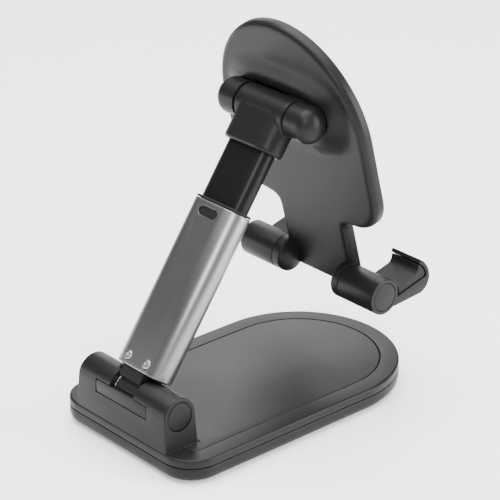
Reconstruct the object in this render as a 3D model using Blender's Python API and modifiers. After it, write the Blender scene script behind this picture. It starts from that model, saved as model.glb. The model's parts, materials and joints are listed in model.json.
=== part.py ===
"""Foldable phone stand, modelled as the separate pieces the real one is put together from.

Frame: metres, +Z up, origin on the desk under the middle of the base. The user sits at -Y,
the main hinge is at the +Y end of the base, and the stand is symmetric about X = 0.
"""
import bpy
import bmesh
from math import cos, pi, radians, sin
from mathutils import Vector

MM = 0.001
GAP = 0.3 * MM

# Base
BASE_HALF = 34.6 * MM
BASE_REAR_Y = 57.4 * MM
BASE_FRONT_CENTRE_Y = -22.4 * MM
BASE_REAR_CORNER = 11.5 * MM
SHELL_BOTTOM_Z = 0.6 * MM
PAD_RECESS_Z = 1.4 * MM
PAD_INSET = 5.5 * MM
PAD_THICKNESS = 1.1 * MM
FLOOR_TOP_Z = 3.4 * MM
PARTING_Z = 5.85 * MM
BASE_TOP_Z = 8.8 * MM
WALL = 3.2 * MM
WEIGHT_THICKNESS = 1.8 * MM
INLAY_HALF = 27.9 * MM
INLAY_REAR_Y = 49.0 * MM
INLAY_THICKNESS = 1.1 * MM
SHELL_UNDER_ROUND = 2.8 * MM
RIM_ROUND = 0.6 * MM
FINE_ROUND = 0.25 * MM
INLAY_CORNER = 2.0 * MM
INLAY_NOTCH_HALF = 23.5 * MM
INLAY_NOTCH_Y = 43.1 * MM
SCREW_HEAD_Z = 1.6 * MM
SCREW_SEAT_RADIUS = 2.7 * MM
SCREW_SEAT_TOP_Z = 2.55 * MM
SCREW_HOLE_RADIUS = 1.35 * MM
BOSS_RADIUS = 3.0 * MM
BOSS_TOP_Z = 6.8 * MM
BASE_SCREW_SPOTS = ((24.0, 38.0), (-24.0, 38.0), (20.0, -28.0), (-20.0, -28.0))

# Main hinge, at the rear of the base
HINGE_Y = 50.3 * MM
HINGE_Z = 19.8 * MM
BARREL_RADIUS = 6.35 * MM
EAR_HALF = 22.5 * MM
FOOT_FLARE = 0.5 * MM
FOOT_DRAFT = 0.035
KNUCKLE_SLOT_HALF = 6.2 * MM
KNUCKLE_HALF = 5.2 * MM
KNUCKLE_RADIUS = 4.6 * MM
COVER_HALF = 12.9 * MM
COVER_BOTTOM = -2.35 * MM
COVER_TOP = 1.85 * MM
COVER_THICKNESS = 1.15 * MM
CAP_DISC_RADIUS = 4.9 * MM
CAP_DISC_THICKNESS = 1.1 * MM
END_POCKET_START = 18.6 * MM
HINGE_HARDWARE_START = 18.9 * MM
SLOT_FLOOR = -6.6 * MM
AXLE_RADIUS = 2.0 * MM
AXLE_CLEARANCE = 0.15 * MM
AXLE_HEAD_RADIUS = 3.4 * MM
AXLE_HEAD_THICKNESS = 2.0 * MM
NUT_RADIUS = 3.9 * MM
NUT_THICKNESS = 1.9 * MM
WASHER_PLAY = 0.2 * MM

# Telescopic arm, measured along the arm from the main hinge axis
ARM_LEAN = radians(35.2)
ARM_OFFSET = 0.4 * MM
TUBE_WIDTH = 22.6 * MM
TUBE_THICKNESS = 11.2 * MM
TUBE_WALL = 1.2 * MM
TUBE_START = 7.1 * MM
TUBE_END = 66.6 * MM
RING_THICKNESS = 0.8 * MM
ROD_WIDTH = 19.4 * MM
ROD_THICKNESS = 8.1 * MM
ROD_WALL = 1.6 * MM
ROD_START = 37.0 * MM
ROD_END = 95.0 * MM
SHOE_LENGTH = 9.0 * MM
PLUG_START = 6.75 * MM
PLUG_TOP = 13.6 * MM
WEB_DEPTH = 4.0 * MM
BRACKET_SCREW_X = 4.65 * MM
BRACKET_SCREW_S = 10.15 * MM
STOP_S = 63.1 * MM
STOP_WIDTH = 8.4 * MM
STOP_HEIGHT = 3.0 * MM
COLLAR_START = 88.3 * MM
COLLAR_WIDTH = 23.6 * MM
COLLAR_THICKNESS = 12.2 * MM
HEAD_AXIS_S = 102.4 * MM

# Head, measured from the head hinge axis: Y backwards, Z up the plate
HEAD_LEAN = radians(-14.5)
CENTRE_BARREL_HALF = 11.5 * MM
WASHER_THICKNESS = 0.5 * MM
CAP_START = 12.4 * MM
CAP_SHOULDER = 18.2 * MM
CAP_TIP = 23.0 * MM
CAP_POCKET_RADIUS = 4.3 * MM
CAP_SCREW_X = 15.4 * MM
CAP_SCREW_FACE = 10.4 * MM
CAP_SCREW_SEAT = 9.1 * MM
HEAD_HARDWARE_START = 13.0 * MM
COLLAR_SWING_HALF = 12.2 * MM
CRADLE_SIZE = (32.0 * MM, 5.4 * MM, 16.0 * MM)
CRADLE_CENTRE = (0.0, -8.6 * MM, -1.0 * MM)
PLATE_BACK = -6.8 * MM
PLATE_FRONT = -11.4 * MM
PLATE_HALF = 34.5 * MM
PLATE_TOP = 28.0 * MM
PLATE_ARCH_Z = -8.0 * MM
WING_CORNER = 13.0 * MM
WING_BOTTOM = -43.5 * MM
WING_SLOPE = 0.4 * MM
NECK_HALF = 16.3 * MM
NECK_FILLET = 3.0 * MM
PLATE_BOTTOM = -71.6 * MM
NECK_CORNER = 2.6 * MM
FACE_PAD_INSET = 2.6 * MM
FACE_PAD_DEPTH = 0.8 * MM
FACE_PAD_THICKNESS = 1.0 * MM

# Hooks, measured from their own axis in the head's frame
HOOK_AXIS_Y = -5.1 * MM
HOOK_AXIS_Z = -66.5 * MM
HOOK_RADIUS = 6.27 * MM
HOOK_BARREL_START = 16.6 * MM
HOOK_END = 33.1 * MM
TRAY_START = 19.4 * MM
TRAY_ROOT = -5.3 * MM
TRAY_BOTTOM = -8.0 * MM
TRAY_FLOOR = -3.2 * MM
TRAY_CORNER = 5.6 * MM
TRAY_CORNER_Y = -15.6 * MM
LIP_CENTRE_Y = -11.95 * MM
LIP_RADIUS = 9.25 * MM
LIP_THICKNESS = 1.4 * MM
LIP_END = 134
LINER_START_Y = -6.8 * MM
LINER_TOP = 0.0
LINER_LIP_Y = -17.1 * MM
LINER_CORNER = 2.5 * MM
HOOK_PIN_RADIUS = 1.5 * MM
HOOK_PIN_START = 12.8 * MM
HOOK_PIN_HEAD_START = 29.7 * MM
HOOK_PIN_END = 31.5 * MM
HOOK_PIN_HEAD_RADIUS = 3.0 * MM
HOOK_POCKET_RADIUS = 3.4 * MM
HOOK_POCKET_START = 28.6 * MM
HOOK_DISC_THICKNESS = 1.0 * MM
LINER_SIDE_GAP = 0.4 * MM
DOME_START = 13.6 * MM
DOME_TIP = 11.7 * MM

ACROSS = (pi / 2, 0.0, pi / 2)
UPRIGHT = (pi / 2, 0.0, 0.0)
FLAT = (0.0, 0.0, 0.0)
RIGHT = (0.0, pi / 2, 0.0)
LEFT = (0.0, -pi / 2, 0.0)
DOWN = (pi, 0.0, 0.0)
BACKWARD = (-pi / 2, 0.0, 0.0)


# ---------------------------------------------------------------- materials

def make_material(name, colour, roughness, metallic=0.0):
    """Return a Principled material of one plain colour."""
    material = bpy.data.materials.new(name)
    material.use_nodes = True
    shader = material.node_tree.nodes["Principled BSDF"]
    shader.inputs["Base Color"].default_value = (*colour, 1.0)
    shader.inputs["Roughness"].default_value = roughness
    shader.inputs["Metallic"].default_value = metallic
    return material


def make_materials():
    """Return every material of the stand, by a short name."""
    return {
        "shell": make_material("black_shell", (0.045, 0.045, 0.048), 0.42),
        "inlay": make_material("satin_inlay", (0.060, 0.060, 0.063), 0.30),
        "rubber": make_material("black_silicone", (0.030, 0.030, 0.032), 0.75),
        "tube": make_material("grey_anodised", (0.300, 0.310, 0.330), 0.32, 1.0),
        "rod": make_material("black_anodised", (0.030, 0.030, 0.033), 0.34, 0.6),
        "steel": make_material("bright_steel", (0.620, 0.620, 0.640), 0.28, 1.0),
        "nylon": make_material("black_nylon", (0.020, 0.020, 0.020), 0.55),
    }


# ---------------------------------------------------------------- modelling helpers

def place(name, mesh, frame, location, rotation, material=None):
    """Add an object under a frame, as a visible part or, without a material, as a cutter."""
    thing = bpy.data.objects.new(name, mesh)
    if material is None:
        CUTTERS.objects.link(thing)
        thing.hide_render = True
        thing.display_type = 'WIRE'
    else:
        PARTS.objects.link(thing)
        mesh.materials.clear()
        mesh.materials.append(material)
    thing.parent = frame
    thing.location = location
    thing.rotation_euler = rotation
    mesh.shade_smooth()
    mesh.set_sharp_from_angle(angle=radians(35.0))
    return thing


def box(name, low, high, frame, material=None):
    """A box between two corners."""
    low, high = Vector(low), Vector(high)
    mesh = bpy.data.meshes.new(name)
    shape = bmesh.new()
    bmesh.ops.create_cube(shape, size=1.0)
    bmesh.ops.scale(shape, vec=high - low, verts=shape.verts)
    shape.to_mesh(mesh)
    shape.free()
    return place(name, mesh, frame, (low + high) / 2, FLAT, material)


def rod(name, radius, start, end, centre, rotation, frame, material=None, segments=32):
    """A cylinder along the rotated Z axis, from start to end past a centre."""
    mesh = bpy.data.meshes.new(name)
    shape = bmesh.new()
    bmesh.ops.create_cone(shape, cap_ends=True, segments=segments, radius1=radius,
                          radius2=radius, depth=end - start)
    bmesh.ops.translate(shape, vec=(0, 0, (start + end) / 2), verts=shape.verts)
    shape.to_mesh(mesh)
    shape.free()
    return place(name, mesh, frame, centre, rotation, material)


def turned(name, profile, centre, rotation, frame, material=None, steps=32):
    """A turned solid: (radius, height) points run from the top of the axis round to its foot."""
    mesh = bpy.data.meshes.new(name)
    shape = bmesh.new()
    line = [shape.verts.new((radius, 0.0, height)) for radius, height in profile]
    for first, second in zip(line, line[1:]):
        shape.edges.new((first, second))
    shape.to_mesh(mesh)
    shape.free()
    thing = place(name, mesh, frame, centre, rotation, material)
    screw = thing.modifiers.new("turn", 'SCREW')
    screw.axis = 'Z'
    screw.steps = steps
    screw.render_steps = steps
    screw.use_merge_vertices = True
    screw.merge_threshold = 0.01 * MM
    return thing


def slab(name, outlines, start, end, centre, rotation, frame, material=None):
    """A flat outline, with any holes, extruded along the rotated Z axis from start to end."""
    curve = bpy.data.curves.new(name + "_outline", 'CURVE')
    curve.dimensions = '2D'
    curve.fill_mode = 'BOTH'
    curve.extrude = (end - start) / 2
    for outline in outlines:
        spline = curve.splines.new('POLY')
        spline.points.add(len(outline) - 1)
        for point, (across, along) in zip(spline.points, outline):
            point.co = (across, along, 0.0, 1.0)
        spline.use_cyclic_u = True
    source = bpy.data.objects.new(name + "_outline", curve)
    CUTTERS.objects.link(source)
    bpy.context.view_layer.update()
    evaluated = source.evaluated_get(bpy.context.evaluated_depsgraph_get())
    mesh = bpy.data.meshes.new_from_object(evaluated)
    mesh.name = name
    bpy.data.objects.remove(source)
    bpy.data.curves.remove(curve)
    shape = bmesh.new()
    shape.from_mesh(mesh)
    bmesh.ops.remove_doubles(shape, verts=shape.verts, dist=0.001 * MM)
    bmesh.ops.translate(shape, vec=(0, 0, (start + end) / 2), verts=shape.verts)
    bmesh.ops.recalc_face_normals(shape, faces=shape.faces)
    bmesh.ops.dissolve_limit(shape, angle_limit=radians(0.5), verts=[], edges=shape.edges)
    shape.to_mesh(mesh)
    shape.free()
    return place(name, mesh, frame, centre, rotation, material)


def combine(thing, other, operation):
    """Add an exact Boolean of another object to a piece."""
    boolean = thing.modifiers.new(other.name, 'BOOLEAN')
    boolean.operation = operation
    boolean.solver = 'EXACT'
    boolean.object = other
    return thing


def cut(thing, *others):
    """Cut other objects away from a piece."""
    for other in others:
        combine(thing, other, 'DIFFERENCE')


def join(thing, *others):
    """Join other objects onto a piece."""
    for other in others:
        combine(thing, other, 'UNION')


def round_rim(thing, height, width, segments=3):
    """Round the edges of a slab that lie at one height of its own Z axis."""
    shape = bmesh.new()
    shape.from_mesh(thing.data)
    rim = [edge for edge in shape.edges
           if all(abs(vert.co.z - height) < 0.01 * MM for vert in edge.verts)
           and len(edge.link_faces) == 2
           and edge.calc_face_angle() > radians(40.0)]
    bmesh.ops.bevel(shape, geom=rim, offset=width, offset_type='OFFSET', segments=segments,
                    profile=0.5, affect='EDGES', clamp_overlap=True)
    shape.to_mesh(thing.data)
    shape.free()
    thing.data.shade_smooth()
    thing.data.set_sharp_from_angle(angle=radians(35.0))


def arc(centre, radius, start, end, steps):
    """Points along a circular arc, both ends included, angles in degrees."""
    points = []
    for step in range(steps + 1):
        angle = radians(start + (end - start) * step / steps)
        points.append((centre[0] + radius * cos(angle), centre[1] + radius * sin(angle)))
    return points


def rounded_box(width, height, corner, steps=5):
    """Outline of a rectangle with round corners, centred on the origin."""
    across, up = width / 2 - corner, height / 2 - corner
    points = arc((across, up), corner, 0, 90, steps)
    points += arc((-across, up), corner, 90, 180, steps)
    points += arc((-across, -up), corner, 180, 270, steps)
    points += arc((across, -up), corner, 270, 360, steps)
    return points


def stadium(width, thickness, steps=12):
    """Outline of a flat bar whose two narrow sides are full half rounds."""
    reach = (width - thickness) / 2
    right = arc((reach, 0), thickness / 2, -90, 90, steps)
    left = arc((-reach, 0), thickness / 2, 90, 270, steps)
    return right + left


def tombstone(half, rear_y, corner, front_steps=36):
    """Base outline: square rear with round corners, and a half-round front."""
    points = arc((half - corner, rear_y - corner), corner, 0, 90, 8)
    points += arc((corner - half, rear_y - corner), corner, 90, 180, 8)
    points += arc((0, BASE_FRONT_CENTRE_Y), half, 180, 360, front_steps)
    return points


def new_frame(name, location, tilt):
    """An empty on a joint's axis, turned about X."""
    frame = bpy.data.objects.new(name, None)
    PARTS.objects.link(frame)
    frame.location = location
    frame.rotation_euler = (tilt, 0.0, 0.0)
    return frame


def plain_screw(name, head_radius, head_height, shank_radius, length, centre, rotation, frame,
                material):
    """A flat-headed screw with a cross recess; its head's face is at the centre."""
    profile = [(0.0, 0.0), (head_radius - 0.15 * MM, 0.0), (head_radius, -0.15 * MM),
               (head_radius, -head_height), (shank_radius, -head_height - 0.3 * MM),
               (shank_radius, -length + 0.3 * MM), (shank_radius - 0.3 * MM, -length),
               (0.0, -length)]
    screw = turned(name, profile, centre, rotation, frame, material, steps=20)
    slot_half = head_radius * 0.62
    slot_width = head_radius * 0.13
    depth = head_height * 0.55
    turn = bpy.data.objects.new(name + "_drive", None)
    CUTTERS.objects.link(turn)
    turn.parent = frame
    turn.location = centre
    turn.rotation_euler = rotation
    cut(screw, box(name + "_slot_a", (-slot_half, -slot_width, -depth),
                   (slot_half, slot_width, head_height), turn))
    cut(screw, box(name + "_slot_b", (-slot_width, -slot_half, -depth * 0.98),
                   (slot_width, slot_half, head_height * 1.02), turn))
    return screw


def washer(name, radius, hole, start, end, centre, frame, material):
    """A flat ring across the stand."""
    profile = [arc((0, 0), hole, 0, 360 - 15, 23), arc((0, 0), radius, 0, 360 - 15, 23)]
    return slab(name, profile, start, end, centre, RIGHT, frame, material)


# ---------------------------------------------------------------- base

def make_bottom_shell():
    """Lower shell: a tray for the weight, with a shallow recess for the anti-slip pad."""
    shell = slab("base_bottom_shell", [tombstone(BASE_HALF, BASE_REAR_Y, BASE_REAR_CORNER)],
                 SHELL_BOTTOM_Z, PARTING_Z - GAP / 2, (0, 0, 0), FLAT, None, PALETTE["shell"])
    round_rim(shell, SHELL_BOTTOM_Z, SHELL_UNDER_ROUND)
    inner = tombstone(BASE_HALF - WALL, BASE_REAR_Y - WALL, BASE_REAR_CORNER - WALL)
    cut(shell, slab("tray_pocket", [inner], FLOOR_TOP_Z, BASE_TOP_Z, (0, 0, 0), FLAT, None))
    recess = tombstone(BASE_HALF - PAD_INSET, BASE_REAR_Y - PAD_INSET,
                       BASE_REAR_CORNER - PAD_INSET)
    cut(shell, slab("pad_recess", [recess], -PAD_RECESS_Z, PAD_RECESS_Z, (0, 0, 0), FLAT, None))
    for index, (x, y) in enumerate(BASE_SCREW_SPOTS):
        spot = (x * MM, y * MM, 0)
        cut(shell,
            rod(f"base_screw_seat_{index}", SCREW_SEAT_RADIUS, SHELL_BOTTOM_Z, SCREW_SEAT_TOP_Z,
                spot, FLAT, None, segments=20),
            rod(f"base_screw_hole_{index}", SCREW_HOLE_RADIUS, SHELL_BOTTOM_Z, PARTING_Z, spot,
                FLAT, None, segments=20))


def make_anti_slip_pad():
    """Silicone pad that the whole stand rests on."""
    inset = PAD_INSET + GAP
    pad = slab("anti_slip_pad",
               [tombstone(BASE_HALF - inset, BASE_REAR_Y - inset, BASE_REAR_CORNER - inset)],
               0.0, PAD_THICKNESS, (0, 0, 0), FLAT, None, PALETTE["rubber"])
    round_rim(pad, 0.0, FINE_ROUND, 1)


def make_weight_plate():
    """Steel plate in the base that keeps the stand from tipping, with holes for the bosses."""
    inset = WALL + 2 * GAP
    holes = [arc((x * MM, y * MM), BOSS_RADIUS + GAP, 0, 345, 23) for x, y in BASE_SCREW_SPOTS]
    outline = tombstone(BASE_HALF - inset, BASE_REAR_Y - inset, BASE_REAR_CORNER - inset)
    low = FLOOR_TOP_Z + GAP
    slab("weight_plate", [outline] + holes, low, low + WEIGHT_THICKNESS, (0, 0, 0), FLAT, None,
         PALETTE["steel"])


def barrel_section():
    """Side outline of the hinge block: upright rear and front faces under a round top."""
    depth = HINGE_Z - PARTING_Z - RIM_ROUND
    top = arc((0, 0), BARREL_RADIUS, 0, 180, 16)
    return top + [(-BARREL_RADIUS - FOOT_FLARE, -depth), (BARREL_RADIUS + FOOT_FLARE, -depth)]


def make_top_shell():
    """Upper shell of the base in one piece with the two hinge ears at its rear."""
    shell = slab("base_top_shell", [tombstone(BASE_HALF, BASE_REAR_Y, BASE_REAR_CORNER)],
                 PARTING_Z + GAP / 2, BASE_TOP_Z, (0, 0, 0), FLAT, None, PALETTE["shell"])
    round_rim(shell, BASE_TOP_Z, RIM_ROUND, 2)
    recess = tombstone(INLAY_HALF + GAP, INLAY_REAR_Y + GAP, INLAY_CORNER + GAP)
    well = slab("inlay_recess", [recess], BASE_TOP_Z - INLAY_THICKNESS - GAP,
                HINGE_Z, (0, 0, 0), FLAT, None)
    cut(well, box("inlay_recess_notch", (-INLAY_NOTCH_HALF, INLAY_NOTCH_Y, 0),
                  (INLAY_NOTCH_HALF, 2 * INLAY_REAR_Y, 2 * HINGE_Z), None))
    cut(shell, well)
    block = slab("hinge_block", [barrel_section()], -EAR_HALF, EAR_HALF, (0, 0, 0), ACROSS,
                 HINGE)
    flare_block_foot(block)
    join(shell, block)
    for index, (x, y) in enumerate(BASE_SCREW_SPOTS):
        spot = (x * MM, y * MM, 0)
        join(shell, rod(f"base_boss_{index}", BOSS_RADIUS, FLOOR_TOP_Z + GAP, BOSS_TOP_Z, spot,
                        FLAT, None, segments=24))
        cut(shell, rod(f"base_boss_hole_{index}", SCREW_HOLE_RADIUS, 0, BOSS_TOP_Z + GAP / 3,
                       spot, FLAT, None, segments=20))
    cut_hinge_openings(shell)


def flare_block_foot(block):
    """Widen the hinge block a little towards its foot, as a moulded draft."""
    for vert in block.data.vertices:
        vert.co.z *= 1 - FOOT_DRAFT * vert.co.y / (HINGE_Z - BASE_TOP_Z)


def cut_hinge_openings(shell):
    """Knuckle slot, rear cover window, axle bore and end pockets in the hinge block."""
    half = KNUCKLE_SLOT_HALF
    wall_y = BARREL_RADIUS - COVER_THICKNESS - GAP
    reach = 1.5 * BARREL_RADIUS
    cut(shell, box("knuckle_slot", (-half, -reach, SLOT_FLOOR), (half, wall_y, reach), HINGE))
    cut(shell, box("knuckle_notch", (-half, 0, 0), (half, reach, reach + GAP), HINGE))
    cut(shell, box("cover_window", (-COVER_HALF - GAP, wall_y - GAP, COVER_BOTTOM - GAP),
                   (COVER_HALF + GAP, reach + GAP, COVER_TOP + GAP), HINGE))
    bore = AXLE_RADIUS + AXLE_CLEARANCE
    cut(shell, rod("hinge_bore", bore, -EAR_HALF, EAR_HALF, (0, 0, 0), RIGHT, HINGE))
    for name, turn in (("right", RIGHT), ("left", LEFT)):
        cut(shell, rod(f"hinge_pocket_{name}", CAP_DISC_RADIUS + GAP / 2, END_POCKET_START,
                       EAR_HALF + AXLE_HEAD_THICKNESS, (0, 0, 0), turn, HINGE, segments=40))


def make_inlay():
    """Satin panel let into the top of the base, notched round the hinge block."""
    inlay = slab("base_inlay_panel", [tombstone(INLAY_HALF, INLAY_REAR_Y, INLAY_CORNER)],
                 BASE_TOP_Z - INLAY_THICKNESS, BASE_TOP_Z, (0, 0, 0), FLAT, None,
                 PALETTE["inlay"])
    round_rim(inlay, BASE_TOP_Z, FINE_ROUND, 1)
    cut(inlay, box("inlay_notch", (-INLAY_NOTCH_HALF - GAP, INLAY_NOTCH_Y - GAP, 0),
                   (INLAY_NOTCH_HALF + GAP, 2 * INLAY_REAR_Y, HINGE_Z), None))


def make_base_screws():
    """Four screws that close the base from below, under the pad."""
    for index, (x, y) in enumerate(BASE_SCREW_SPOTS):
        plain_screw(f"base_screw_{index + 1}", 2.4 * MM, 0.7 * MM, 1.1 * MM, 4.9 * MM,
                    (x * MM, y * MM, SCREW_HEAD_Z), DOWN, None, PALETTE["steel"])


def make_rear_cover():
    """Clip-in cover behind the knuckle, curved at its top like the barrel it closes."""
    inner = BARREL_RADIUS - COVER_THICKNESS
    top_angle = 16.9
    outline = [(inner, COVER_BOTTOM), (BARREL_RADIUS, COVER_BOTTOM)]
    outline += arc((0, 0), BARREL_RADIUS, 0, top_angle, 4) + [(inner, COVER_TOP)]
    slab("hinge_rear_cover", [outline], -COVER_HALF, COVER_HALF, (0, 0, 0), ACROSS, HINGE,
         PALETTE["shell"])


def axle_and_nut(name, start, frame):
    """A headed axle across the stand with a locking nut on its other end."""
    head_end = start + AXLE_HEAD_THICKNESS
    tail = -start - NUT_THICKNESS - WASHER_PLAY
    profile = [(0.0, head_end), (AXLE_HEAD_RADIUS, head_end), (AXLE_HEAD_RADIUS, start),
               (AXLE_RADIUS, start), (AXLE_RADIUS, tail), (0.0, tail)]
    turned(f"{name}_axle", profile, (0, 0, 0), RIGHT, frame, PALETTE["steel"], steps=28)
    outlines = [arc((0, 0), AXLE_RADIUS + AXLE_CLEARANCE, 0, 345, 23),
                arc((0, 0), NUT_RADIUS, 0, 300, 5)]
    slab(f"{name}_nut", outlines, start, start + NUT_THICKNESS, (0, 0, 0), LEFT, frame,
         PALETTE["steel"])


def make_hinge_hardware():
    """Main hinge: end discs, headed axle, locking nut and the two friction washers."""
    for name, turn in (("right", RIGHT), ("left", LEFT)):
        disc = rod(f"hinge_end_disc_{name}", CAP_DISC_RADIUS, EAR_HALF - CAP_DISC_THICKNESS,
                   EAR_HALF, (0, 0, 0), turn, HINGE, PALETTE["shell"], segments=40)
        round_rim(disc, EAR_HALF, FINE_ROUND, 1)
    axle_and_nut("hinge", HINGE_HARDWARE_START, HINGE)
    start = KNUCKLE_HALF + WASHER_PLAY
    for name, side in (("right", 1), ("left", -1)):
        low, high = sorted((side * start, side * (start + WASHER_THICKNESS)))
        washer(f"hinge_washer_{name}", 4.5 * MM, AXLE_RADIUS + AXLE_CLEARANCE, low, high,
               (0, 0, 0), HINGE, PALETTE["steel"])


# ---------------------------------------------------------------- arm

def arm_back():
    """Distance from the arm's frame to the flat back face of the tube."""
    return ARM_OFFSET + TUBE_THICKNESS / 2


def make_bracket():
    """Foot of the arm: a plug inside the tube, and the knuckle between the ears."""
    width = TUBE_WIDTH - 2 * TUBE_WALL - 2 * GAP
    thickness = TUBE_THICKNESS - 2 * TUBE_WALL - 2 * GAP
    bracket = slab("arm_foot_bracket", [stadium(width, thickness)], PLUG_START, PLUG_TOP,
                   (0, ARM_OFFSET, 0), FLAT, ARM, PALETTE["nylon"])
    join(bracket,
         rod("knuckle", KNUCKLE_RADIUS, -KNUCKLE_HALF, KNUCKLE_HALF, (0, 0, 0), RIGHT, ARM),
         box("knuckle_web", (-KNUCKLE_HALF + 0.02 * MM, -WEB_DEPTH, 0.4 * MM),
             (KNUCKLE_HALF - 0.02 * MM, WEB_DEPTH, PLUG_START + 1.0 * MM), ARM),
         box("knuckle_back", (-KNUCKLE_HALF + 0.05 * MM, WEB_DEPTH / 2, WEB_DEPTH * 0.8),
             (KNUCKLE_HALF - 0.05 * MM, arm_back() - 0.5 * MM, PLUG_START + GAP / 2), ARM))
    cut(bracket, rod("knuckle_bore", AXLE_RADIUS + AXLE_CLEARANCE, -0.01, 0.01, (0, 0, 0), RIGHT,
                     ARM))
    for name, side in (("right", 1), ("left", -1)):
        cut(bracket, rod(f"bracket_screw_hole_{name}", 1.0 * MM, -0.5 * MM, 6.3 * MM,
                         (side * BRACKET_SCREW_X, 0, BRACKET_SCREW_S), BACKWARD, ARM,
                         segments=20))


def make_outer_tube():
    """Anodised outer tube with its two screw holes and the stop's slot in the back."""
    tube = slab("outer_tube",
                [stadium(TUBE_WIDTH, TUBE_THICKNESS),
                 stadium(TUBE_WIDTH - 2 * TUBE_WALL, TUBE_THICKNESS - 2 * TUBE_WALL)],
                TUBE_START, TUBE_END, (0, ARM_OFFSET, 0), FLAT, ARM, PALETTE["tube"])
    for name, side in (("right", 1), ("left", -1)):
        cut(tube, rod(f"tube_screw_hole_{name}", 1.75 * MM, 3.0 * MM, 8.0 * MM,
                      (side * BRACKET_SCREW_X, 0, BRACKET_SCREW_S), BACKWARD, ARM, segments=24))
    slot = rounded_box(STOP_WIDTH + GAP, STOP_HEIGHT + GAP, (STOP_HEIGHT + GAP) / 2.01)
    cut(tube, slab("stop_slot", [slot], -8.0 * MM, -3.0 * MM, (0, 0, STOP_S), UPRIGHT, ARM))


def make_arm_trim():
    """Two screws, the black stop in the slot and the wiper ring at the tube's mouth."""
    for name, side in (("right", 1), ("left", -1)):
        plain_screw(f"bracket_screw_{name}", 1.5 * MM, 0.8 * MM, 0.8 * MM, 4.8 * MM,
                    (side * BRACKET_SCREW_X, arm_back() + 0.1 * MM, BRACKET_SCREW_S), BACKWARD,
                    ARM, PALETTE["steel"])
    stop = rounded_box(STOP_WIDTH - GAP, STOP_HEIGHT - GAP, (STOP_HEIGHT - GAP) / 2.01)
    back = arm_back() - 0.25 * MM
    slab("slide_stop", [stop], -back, -back + TUBE_WALL - 0.1 * MM, (0, 0, STOP_S), UPRIGHT,
         ARM, PALETTE["nylon"])
    ring = slab("tube_mouth_ring",
                [stadium(TUBE_WIDTH - 0.2 * MM, TUBE_THICKNESS - 0.2 * MM),
                 stadium(ROD_WIDTH + 2 * GAP, ROD_THICKNESS + 2 * GAP)],
                TUBE_END + 0.2 * MM, TUBE_END + 0.2 * MM + RING_THICKNESS, (0, ARM_OFFSET, 0),
                FLAT, ARM, PALETTE["nylon"])
    round_rim(ring, TUBE_END + 0.2 * MM + RING_THICKNESS, 0.2 * MM, 1)


def make_inner_rod():
    """Inner bar that slides in the tube, hollow, with a friction shoe plugged into its foot."""
    hollow = stadium(ROD_WIDTH - 2 * ROD_WALL, ROD_THICKNESS - 2 * ROD_WALL)
    slab("inner_rod", [stadium(ROD_WIDTH, ROD_THICKNESS), hollow], ROD_START, ROD_END,
         (0, ARM_OFFSET, 0), FLAT, ARM, PALETTE["rod"])
    shoe = slab("slide_shoe",
                [stadium(ROD_WIDTH - 2 * ROD_WALL - 2 * GAP, ROD_THICKNESS - 2 * ROD_WALL - 2 * GAP)],
                ROD_START - 0.6 * MM, ROD_START + SHOE_LENGTH, (0, ARM_OFFSET, 0), FLAT, ARM,
                PALETTE["nylon"])
    foot = slab("slide_shoe_foot", [stadium(ROD_WIDTH + 0.2 * MM, ROD_THICKNESS + 0.2 * MM)],
                ROD_START - 2.4 * MM, ROD_START - GAP, (0, ARM_OFFSET, 0), FLAT, ARM)
    join(shoe, foot)


def make_collar():
    """Neck collar on the inner bar, in one piece with the middle of the head's barrel."""
    start = COLLAR_START
    end = HEAD_AXIS_S - 1.0 * MM
    collar = slab("neck_collar", [stadium(COLLAR_WIDTH, COLLAR_THICKNESS)], start, end,
                  (0, ARM_OFFSET, 0), FLAT, ARM, PALETTE["shell"])
    round_rim(collar, start, 0.7 * MM, 2)
    join(collar, rod("centre_barrel", BARREL_RADIUS, -CENTRE_BARREL_HALF, CENTRE_BARREL_HALF,
                     (0, 0, HEAD_AXIS_S), RIGHT, ARM, segments=40))
    cut(collar,
        slab("collar_socket", [stadium(ROD_WIDTH + GAP, ROD_THICKNESS + GAP)],
             start - 1.0 * MM, ROD_END + GAP, (0, ARM_OFFSET, 0), FLAT, ARM),
        rod("centre_bore", AXLE_RADIUS + AXLE_CLEARANCE, -0.02, 0.02, (0, 0, HEAD_AXIS_S), RIGHT,
            ARM))
    for name, side in (("right", 1), ("left", -1)):
        low, high = sorted((side * CENTRE_BARREL_HALF, side * 20.0 * MM))
        cut(collar, box(f"collar_trim_{name}", (low, -10 * MM, HEAD_AXIS_S - 6.9 * MM),
                        (high, 10 * MM, HEAD_AXIS_S + 10 * MM), ARM))


# ---------------------------------------------------------------- head

def cap_profile(growth=0.0, pocket=0.0):
    """Half outline of a domed barrel end, grown all round, with an optional round pocket."""
    radius = BARREL_RADIUS + growth
    points = []
    for step in range(9):
        angle = pi / 2 * (1 - step / 8)
        points.append((radius * cos(angle), CAP_SHOULDER + (CAP_TIP + growth - CAP_SHOULDER) * sin(angle)))
    points[0] = (0.0, points[0][1])
    points.append((radius, CAP_START - growth))
    if pocket:
        depth = CAP_SHOULDER - 0.6 * MM
        return points + [(pocket, CAP_START), (pocket, depth), (0.0, depth)]
    return points + [(0.0, CAP_START - growth)]


def make_head_barrel():
    """Domed ends of the head's barrel, the axle through it, its nut and friction washers."""
    for name, turn in (("right", RIGHT), ("left", LEFT)):
        turned(f"head_barrel_cap_{name}", cap_profile(pocket=CAP_POCKET_RADIUS), (0, 0, 0), turn, HEAD,
               PALETTE["shell"], steps=36)
    axle_and_nut("head", HEAD_HARDWARE_START, HEAD)
    start = CENTRE_BARREL_HALF + WASHER_PLAY
    for name, side in (("right", 1), ("left", -1)):
        low, high = sorted((side * start, side * (start + WASHER_THICKNESS)))
        washer(f"head_washer_{name}", 5.2 * MM, AXLE_RADIUS + AXLE_CLEARANCE, low, high,
               (0, 0, 0), HEAD, PALETTE["steel"])


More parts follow.
